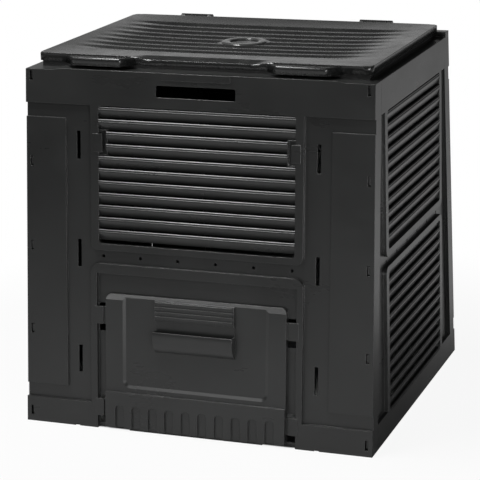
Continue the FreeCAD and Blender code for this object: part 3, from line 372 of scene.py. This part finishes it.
def moulded_plastic(name, colour, finish, gloss=0.0):
    """Black moulded plastic: a fine grain, flow marks, paler patches on upward faces, and edges made lighter,
    partly as rubbed wear and partly as a painted highlight.
    """
    made = Maker(bpy.data.materials.new(name))
    where = made.places()
    cloudy = made.noise(where, *CLOUD_NOISE)
    flow = made.noise(made.stretched(where, FLOW_STRETCH), *FLOW_NOISE)
    scuffs = made.between(made.noise(made.stretched(where, SCUFF_STRETCH), *SCUFF_NOISE), *SCUFF_RANGE)
    grain = made.noise(where, *GRAIN_NOISE)
    pits = made.noise(where, *PIT_NOISE)
    rounded = made.node("ShaderNodeBevel", {"samples": EDGE_SAMPLES}, {"Radius": finish.edge_radius})
    facing = made.node("ShaderNodeNewGeometry").outputs["True Normal"]
    turned = made.node("ShaderNodeVectorMath", {"operation": "DOT_PRODUCT"},
                       {0: rounded.outputs[0], 1: facing})
    edge = made.between(1.0 - Term(made, turned.outputs["Value"]), *EDGE_RANGE)
    rubbed_and_highlit = edge * made.between(made.noise(where, *EDGE_PATCH_NOISE), *EDGE_PATCH_RANGE)
    upward = made.node("ShaderNodeSeparateXYZ", None, {0: facing}).outputs["Z"]
    pale_patches = made.between(made.noise(where, *PALE_TOP_NOISE), *PALE_TOP_RANGE)
    pale_top = made.between(upward, *UPWARD_RANGE) * pale_patches
    darker, lighter = (colour4(colour, gain) for gain in CLOUD_GAINS)
    base = made.mix_colour(made.between(cloudy, *CLOUD_RANGE), darker, lighter)
    # Painted highlight: the edges get a lighter colour, partly as rubbed wear and partly in place of the
    # light they catch.
    base = made.mix_colour(rubbed_and_highlit * EDGE_WEAR_AND_HIGHLIGHT_SHARE, base, colour4(colour, EDGE_WEAR_AND_HIGHLIGHT_GAIN))
    base = made.mix_colour(scuffs * SCUFF_SHARE, base, colour4(colour, SCUFF_GAIN))
    # Paler, slightly green patches on upward faces.
    base = made.mix_colour(pale_top * PALE_TOP_SHARE, base, PALE_TOP_COLOUR)
    roughness = finish.roughness - gloss + (flow - 0.5) * FLOW_MATTE + (cloudy - 0.5) * CLOUD_MATTE
    roughness = roughness + scuffs * SCUFF_MATTE + pale_top * PALE_TOP_MATTE
    bump = made.node("ShaderNodeBump", None,
                     {"Strength": RELIEF_STRENGTH, "Distance": finish.grain_depth,
                      "Height": grain * GRAIN_SHARE + pits * PIT_SHARE, "Normal": rounded.outputs[0]})
    shader = made.node("ShaderNodeBsdfPrincipled", None,
                       {"Base Color": base, "Roughness": roughness, "IOR": PLASTIC_IOR,
                        "Normal": bump.outputs[0]})
    return made.finish(shader.outputs[0])


def paint(names, material):
    """Give CAD nodes their material."""
    for name in names:
        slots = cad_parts[name].data.materials
        slots.clear()
        slots.append(material)


class BIN_OT_studio(bpy.types.Operator):
    """Set the camera, the lamps, the white floor and the white surroundings."""
    bl_idname = "bin.studio"
    bl_label = "Set the studio"

    def execute(self, context):
        settings = context.scene.bin_studio
        make_camera(settings)
        make_floor()
        make_surroundings(settings)
        make_lamps(settings)
        return {"FINISHED"}


def make_camera(settings):
    """The camera that was fitted to the photo."""
    turn = math.radians(settings.camera_turn)
    dip = math.radians(settings.camera_dip)
    roll = math.radians(settings.camera_roll)
    ahead = Vector((-math.sin(turn) * math.cos(dip), math.cos(turn) * math.cos(dip), -math.sin(dip)))
    level = Vector((math.cos(turn), math.sin(turn), 0))
    upright = level.cross(ahead)
    right = math.cos(roll) * level + math.sin(roll) * upright
    up = math.cos(roll) * upright - math.sin(roll) * level
    data = bpy.data.cameras.new("camera")
    data.lens = settings.lens
    data.sensor_width = SENSOR_WIDTH
    data.clip_end = FAR_CLIP
    camera = bpy.data.objects.new("camera", data)
    turned = Matrix((right, up, -ahead)).transposed().to_4x4()
    camera.matrix_world = Matrix.Translation(settings.camera_place) @ turned
    bpy.context.scene.collection.objects.link(camera)
    bpy.context.scene.camera = camera


def make_floor():
    """A pale floor that shows white and keeps a soft shadow."""
    mesh = bpy.data.meshes.new("floor")
    shape = bmesh.new()
    bmesh.ops.create_grid(shape, x_segments=1, y_segments=1, size=FLOOR_HALF)
    shape.to_mesh(mesh)
    shape.free()
    floor = bpy.data.objects.new("floor", mesh)
    bpy.context.scene.collection.objects.link(floor)
    made = Maker(bpy.data.materials.new("white_floor"))
    where = made.places()
    tone = made.mix_colour(made.noise(where, *FLOOR_NOISE), *FLOOR_TONES)
    sides = made.node("ShaderNodeSeparateXYZ", None, {0: where})
    across, depth = (Term(made, sides.outputs[axis]) for axis in "XY")
    beside = made.between(across ** 2, *(half ** 2 for half in FOOT_HALF_WIDTH))
    before = made.between(depth ** 2, *(half ** 2 for half in FOOT_HALF_DEPTH))
    outside = 1.0 - (1.0 - beside) * (1.0 - before)
    far = made.between(across ** 2 + depth ** 2, *FAR_RANGE)
    behind = made.between(depth, *BEHIND_RANGE)
    matte = made.node("ShaderNodeBsdfDiffuse", None, {"Color": tone})
    glow = made.node("ShaderNodeEmission", None, {"Color": WHITE, "Strength": 1.0})
    path = made.node("ShaderNodeLightPath")
    seen = Term(made, path.outputs["Is Camera Ray"]) * (NEAR_WHITE + far * FAR_WHITE)
    mirrored = Term(made, path.outputs["Is Glossy Ray"]) * behind * MIRRORED_WHITE
    both = made.node("ShaderNodeMixShader", None,
                     {0: (seen + mirrored) * outside, 1: matte.outputs[0], 2: glow.outputs[0]})
    mesh.materials.append(made.finish(both.outputs[0]))


def make_surroundings(settings):
    """A world that lights the bin from all round and shows white to the camera."""
    made = Maker(bpy.data.worlds.new("surroundings"))
    path = made.node("ShaderNodeLightPath")
    seen = path.outputs["Is Camera Ray"]
    strength = made.node("ShaderNodeMapRange", None,
                         {"Value": seen, "To Min": settings.sky_light, "To Max": 1.0})
    glow = made.node("ShaderNodeBackground", None, {"Color": WHITE, "Strength": strength.outputs["Result"]})
    bpy.context.scene.world = made.finish(glow.outputs[0], "ShaderNodeOutputWorld")


def make_lamp(name, place, target, width, height, power):
    """A flat lamp that lights the bin and isn't seen itself."""
    data = bpy.data.lights.new(name, "AREA")
    data.shape = "RECTANGLE"
    data.size = width
    data.size_y = height
    data.energy = power
    lamp = bpy.data.objects.new(name, data)
    lamp.location = place
    lamp.rotation_euler = (Vector(target) - Vector(place)).to_track_quat("-Z", "Y").to_euler()
    lamp.visible_camera = False
    bpy.context.scene.collection.objects.link(lamp)


def make_lamps(settings):
    """All lamps, with their powers from the settings."""
    for name, (place, target, width, height) in LAMPS.items():
        make_lamp(name, place, target, width, height, getattr(settings, name + "_power"))


class BIN_OT_walls(bpy.types.Operator):
    """Give the four walls their moulded plastic."""
    bl_idname = "bin.walls"
    bl_label = "Finish the walls"

    def execute(self, context):
        finish = context.scene.bin_finish
        paint(WALLS, moulded_plastic("wall_plastic", finish.wall_colour, finish))
        return {"FINISHED"}


def ramp(value, low, high):
    """0 at low, 1 at high and smooth between, whichever of the two is larger."""
    share = min(1.0, max(0.0, (value - low) / (high - low)))
    return share * share * (3 - 2 * share)


def lid_height(shape, x, y):
    """The height of the lid's upper face: a rim, a dished field with grooves, and a dip at the front."""
    across = 1 - min(1.0, abs(x) / shape.half_width) ** DISH_POWERS[0]
    along = 1 - min(1.0, abs(y) / shape.half_depth) ** DISH_POWERS[1]
    sink = shape.dish * across * along
    place = (y - shape.groove_back) / shape.groove_pitch
    reach = shape.groove_count / 2
    wave = 0.5 - 0.5 * math.cos(2 * math.pi * (place + reach))
    ends = ramp(abs(x), GROOVE_END, GROOVE_FULL)
    wave *= ramp(abs(place), reach + GROOVE_FADE, reach - GROOVE_FADE) * ends
    sink += shape.groove_depth * wave
    dip = ramp(abs(x), DIP_END, DIP_FULL) * max(0.0, (-y - DIP_START) / DIP_RUN)
    sink += shape.dip * dip
    from_ring = math.hypot(x, y)
    plate = ramp(from_ring, shape.ring_outer - PLATE_SLOPE, shape.ring_inner + PLATE_SLOPE)
    ground = shape.dish + plate * PLATE_SINK
    level = ramp(from_ring, shape.ring_outer + GROUND_OUTSIDE, shape.ring_outer - GROUND_INSIDE)
    return shape.top - (sink + (ground - sink) * level)


def add_piece(name, form, material, thickness=0):
    """Make a smooth object from a bmesh, and thicken it inwards where it is an open sheet."""
    mesh = bpy.data.meshes.new(name)
    bmesh.ops.recalc_face_normals(form, faces=form.faces)
    for face in form.faces:
        face.smooth = True
    form.to_mesh(mesh)
    form.free()
    mesh.set_sharp_from_angle(angle=math.radians(SMOOTH_ANGLE))
    mesh.materials.append(material)
    piece = bpy.data.objects.new(name, mesh)
    bpy.context.scene.collection.objects.link(piece)
    if thickness:
        modifier = piece.modifiers.new("Solidify", "SOLIDIFY")
        modifier.thickness = thickness
        modifier.offset = -1
    return piece


def fit_to_lid(piece):
    """Move a piece with the lid and show it in place of the lid's CAD node."""
    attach(piece, "lid")
    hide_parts("lid")


def pull_down(form, edges, level):
    """Pull open edges straight down to a level."""
    made = bmesh.ops.extrude_edge_only(form, edges=edges)
    for item in made["geom"]:
        if isinstance(item, bmesh.types.BMVert):
            item.co.z = level


def round_edges(form, edges, offset, segments):
    """Round edges with a bevel of several segments."""
    bmesh.ops.bevel(form, geom=edges, offset=offset, segments=segments, profile=0.5, affect="EDGES",
                    material=-1)


def lid_plastic(context):
    """The material of the lid, made once."""
    made = bpy.data.materials.get("lid_moulding")
    if made is None:
        finish = context.scene.bin_finish
        made = moulded_plastic("lid_moulding", finish.lid_colour, finish, finish.lid_gloss)
    return made


class BIN_OT_lid_cover(bpy.types.Operator):
    """Make the lid's dished cover with its grooves and skirt."""
    bl_idname = "bin.lid_cover"
    bl_label = "Make the lid cover"

    def execute(self, context):
        shape = context.scene.bin_lid
        form = bmesh.new()
        bmesh.ops.create_grid(form, x_segments=COVER_STEPS[0], y_segments=COVER_STEPS[1], size=1)
        bmesh.ops.scale(form, vec=(shape.half_width, shape.half_depth, 1), verts=form.verts)
        inner = Vector((shape.half_width - shape.corner, shape.half_depth - shape.corner))
        for vert in form.verts:
            out = Vector((abs(vert.co.x) - inner.x, abs(vert.co.y) - inner.y))
            if out.x > 0 and out.y > 0:
                out *= max(out) / out.length
                vert.co.x = math.copysign(inner.x + out.x, vert.co.x)
                vert.co.y = math.copysign(inner.y + out.y, vert.co.y)
            vert.co.z = lid_height(shape, vert.co.x, vert.co.y)
        border = [edge for edge in form.edges if edge.is_boundary]
        pull_down(form, border, shape.top - shape.skirt)
        round_edges(form, border, SKIRT_ROUNDING, SKIRT_SEGMENTS)
        fit_to_lid(add_piece("lid_cover", form, lid_plastic(context), shape.wall))
        return {"FINISHED"}


def profile_turned(form, points, axis, centre, steps):
    """Turn a closed profile once round an axis."""
    verts = [form.verts.new(point) for point in points]
    edges = [form.edges.new((verts[number - 1], vert)) for number, vert in enumerate(verts)]
    bmesh.ops.spin(form, geom=verts + edges, cent=centre, axis=axis, angle=2 * math.pi, steps=steps,
                   use_merge=True)
    bmesh.ops.remove_doubles(form, verts=form.verts, dist=MERGE_DISTANCE)


class BIN_OT_lid_ring(bpy.types.Operator):
    """Make the raised ring in the middle of the lid."""
    bl_idname = "bin.lid_ring"
    bl_label = "Make the lid ring"

    def execute(self, context):
        shape = context.scene.bin_lid
        finish = context.scene.bin_finish
        low = shape.top - shape.dish - RING_ROOT
        high = shape.top - shape.dish + RING_RISE
        inner, outer = shape.ring_inner, shape.ring_outer
        profile = [(outer, low)]
        profile += [(outer - away, high - down) for away, down in RING_OUTER_EDGE]
        profile += [(inner + away, high - down) for away, down in RING_INNER_EDGE]
        profile += [(inner, low)]
        form = bmesh.new()
        profile_turned(form, [(away, 0, up) for away, up in profile], (0, 0, 1), (0, 0, 0), RING_STEPS)
        polished = moulded_plastic("ring_plastic", finish.ring_colour, finish, finish.ring_gloss)
        fit_to_lid(add_piece("lid_ring", form, polished))
        return {"FINISHED"}


def before_root(edge, root):
    """Whether an edge reaches out before the line where the grip leaves the lid."""
    return min(vert.co.y for vert in edge.verts) < root - NEAR_LINE


class BIN_OT_lid_grips(bpy.types.Operator):
    """Make the two grips at the lid's front edge."""
    bl_idname = "bin.lid_grips"
    bl_label = "Make the lid grips"

    def execute(self, context):
        shape = context.scene.bin_lid
        root = -shape.half_depth + ROOT_OVERLAP
        front = -shape.half_depth - shape.grip_reach
        top = shape.top - GRIP_DROP
        for word, side in SIDES:
            inner, outer = side * shape.grip_inner, side * shape.grip_outer
            flare = side * shape.grip_flare
            corners = [(inner, root), (outer, root), (outer - flare, front), (inner + flare, front)]
            form = bmesh.new()
            face = form.faces.new([form.verts.new((x, y, top)) for x, y in corners])
            rim = [edge for edge in face.edges if before_root(edge, root)]
            pull_down(form, rim, top - shape.skirt)
            posts = [edge for edge in form.edges
                     if abs(edge.verts[0].co.z - edge.verts[1].co.z) > LONG_EDGE and before_root(edge, root)]
            round_edges(form, rim + posts, GRIP_ROUNDING, GRIP_SEGMENTS)
            fit_to_lid(add_piece(word + "_lid_grip", form, lid_plastic(context), shape.wall))
        return {"FINISHED"}


class BIN_OT_lid_knuckles(bpy.types.Operator):
    """Make the two hinge knuckles with the webs that carry them."""
    bl_idname = "bin.lid_knuckles"
    bl_label = "Make the lid knuckles"

    def execute(self, context):
        shape = context.scene.bin_lid
        line = Vector(shape.hinge_line)
        soft = KNUCKLE_ROUNDING
        root = shape.half_depth - ROOT_OVERLAP
        depth = line.y - shape.bore - WEB_GAP - root
        for word, side in SIDES:
            middle = side * shape.hinge_place
            near, far = middle - shape.hinge_half, middle + shape.hinge_half
            profile = [(near, shape.bore), (near, shape.knuckle - soft), (near + soft, shape.knuckle),
                       (far - soft, shape.knuckle), (far, shape.knuckle - soft), (far, shape.bore)]
            form = bmesh.new()
            turned = [(x, line.y, line.z + away) for x, away in profile]
            profile_turned(form, turned, (1, 0, 0), line, KNUCKLE_STEPS)
            web = bmesh.ops.create_cube(form, size=1)["verts"]
            bmesh.ops.scale(form, vec=(shape.hinge_half * 2, depth, WEB_THICKNESS), verts=web)
            bmesh.ops.translate(form, vec=(middle, root + depth / 2, line.z + WEB_LIFT), verts=web)
            rims = [edge for edge in form.edges if edge.verts[0] in web
                    and abs(edge.verts[0].co.x - edge.verts[1].co.x) > LONG_EDGE]
            round_edges(form, rims, WEB_ROUNDING, WEB_SEGMENTS)
            fit_to_lid(add_piece(word + "_lid_knuckle", form, lid_plastic(context)))
        return {"FINISHED"}


class BIN_OT_badge(bpy.types.Operator):
    """Give the plain round plate of the lid its plastic."""
    bl_idname = "bin.badge"
    bl_label = "Finish the round plate"

    def execute(self, context):
        paint(("lid_badge",), lid_plastic(context))
        return {"FINISHED"}


class BIN_OT_hatch(bpy.types.Operator):
    """Give the hatch door and its grip their moulded plastic."""
    bl_idname = "bin.hatch"
    bl_label = "Finish the hatch"

    def execute(self, context):
        finish = context.scene.bin_finish
        paint(HATCH, moulded_plastic("hatch_plastic", finish.hatch_colour, finish))
        return {"FINISHED"}


class BIN_OT_pins(bpy.types.Operator):
    """Give the hinge pins their smooth plastic."""
    bl_idname = "bin.pins"
    bl_label = "Finish the hinge pins"

    def execute(self, context):
        finish = context.scene.bin_finish
        paint(PINS, moulded_plastic("pin_plastic", finish.wall_colour, finish, PIN_GLOSS))
        return {"FINISHED"}


class BIN_PT_panel(bpy.types.Panel):
    """All settings of the bin, and a button for each of its makers."""
    bl_label = "Compost bin"
    bl_idname = "BIN_PT_panel"
    bl_space_type = "VIEW_3D"
    bl_region_type = "UI"
    bl_category = "Compost bin"

    def draw(self, context):
        for group in (context.scene.bin_finish, context.scene.bin_lid, context.scene.bin_studio):
            for name in group.bl_rna.properties.keys():
                if name not in ("rna_type", "name"):
                    self.layout.prop(group, name)
        for maker in OPERATORS:
            self.layout.operator(maker.bl_idname)


OPERATORS = (BIN_OT_studio, BIN_OT_walls, BIN_OT_lid_cover, BIN_OT_lid_ring, BIN_OT_lid_grips,
             BIN_OT_lid_knuckles, BIN_OT_badge, BIN_OT_hatch, BIN_OT_pins)
CLASSES = (BinFinish, LidShape, StudioSettings) + OPERATORS + (BIN_PT_panel,)


def register():
    """Make the operators, the panel and the settings known."""
    for kind in CLASSES:
        bpy.utils.register_class(kind)
    bpy.types.Scene.bin_finish = bpy.props.PointerProperty(type=BinFinish)
    bpy.types.Scene.bin_lid = bpy.props.PointerProperty(type=LidShape)
    bpy.types.Scene.bin_studio = bpy.props.PointerProperty(type=StudioSettings)


def unregister():
    """Take back what register made."""
    del bpy.types.Scene.bin_studio
    del bpy.types.Scene.bin_lid
    del bpy.types.Scene.bin_finish
    for kind in reversed(CLASSES):
        bpy.utils.unregister_class(kind)


def main():
    """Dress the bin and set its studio."""
    register()
    bpy.context.scene.view_settings.view_transform = "Standard"
    for maker in OPERATORS:
        group, name = maker.bl_idname.split(".")
        getattr(getattr(bpy.ops, group), name)()


if __name__ == "__main__":
    main()
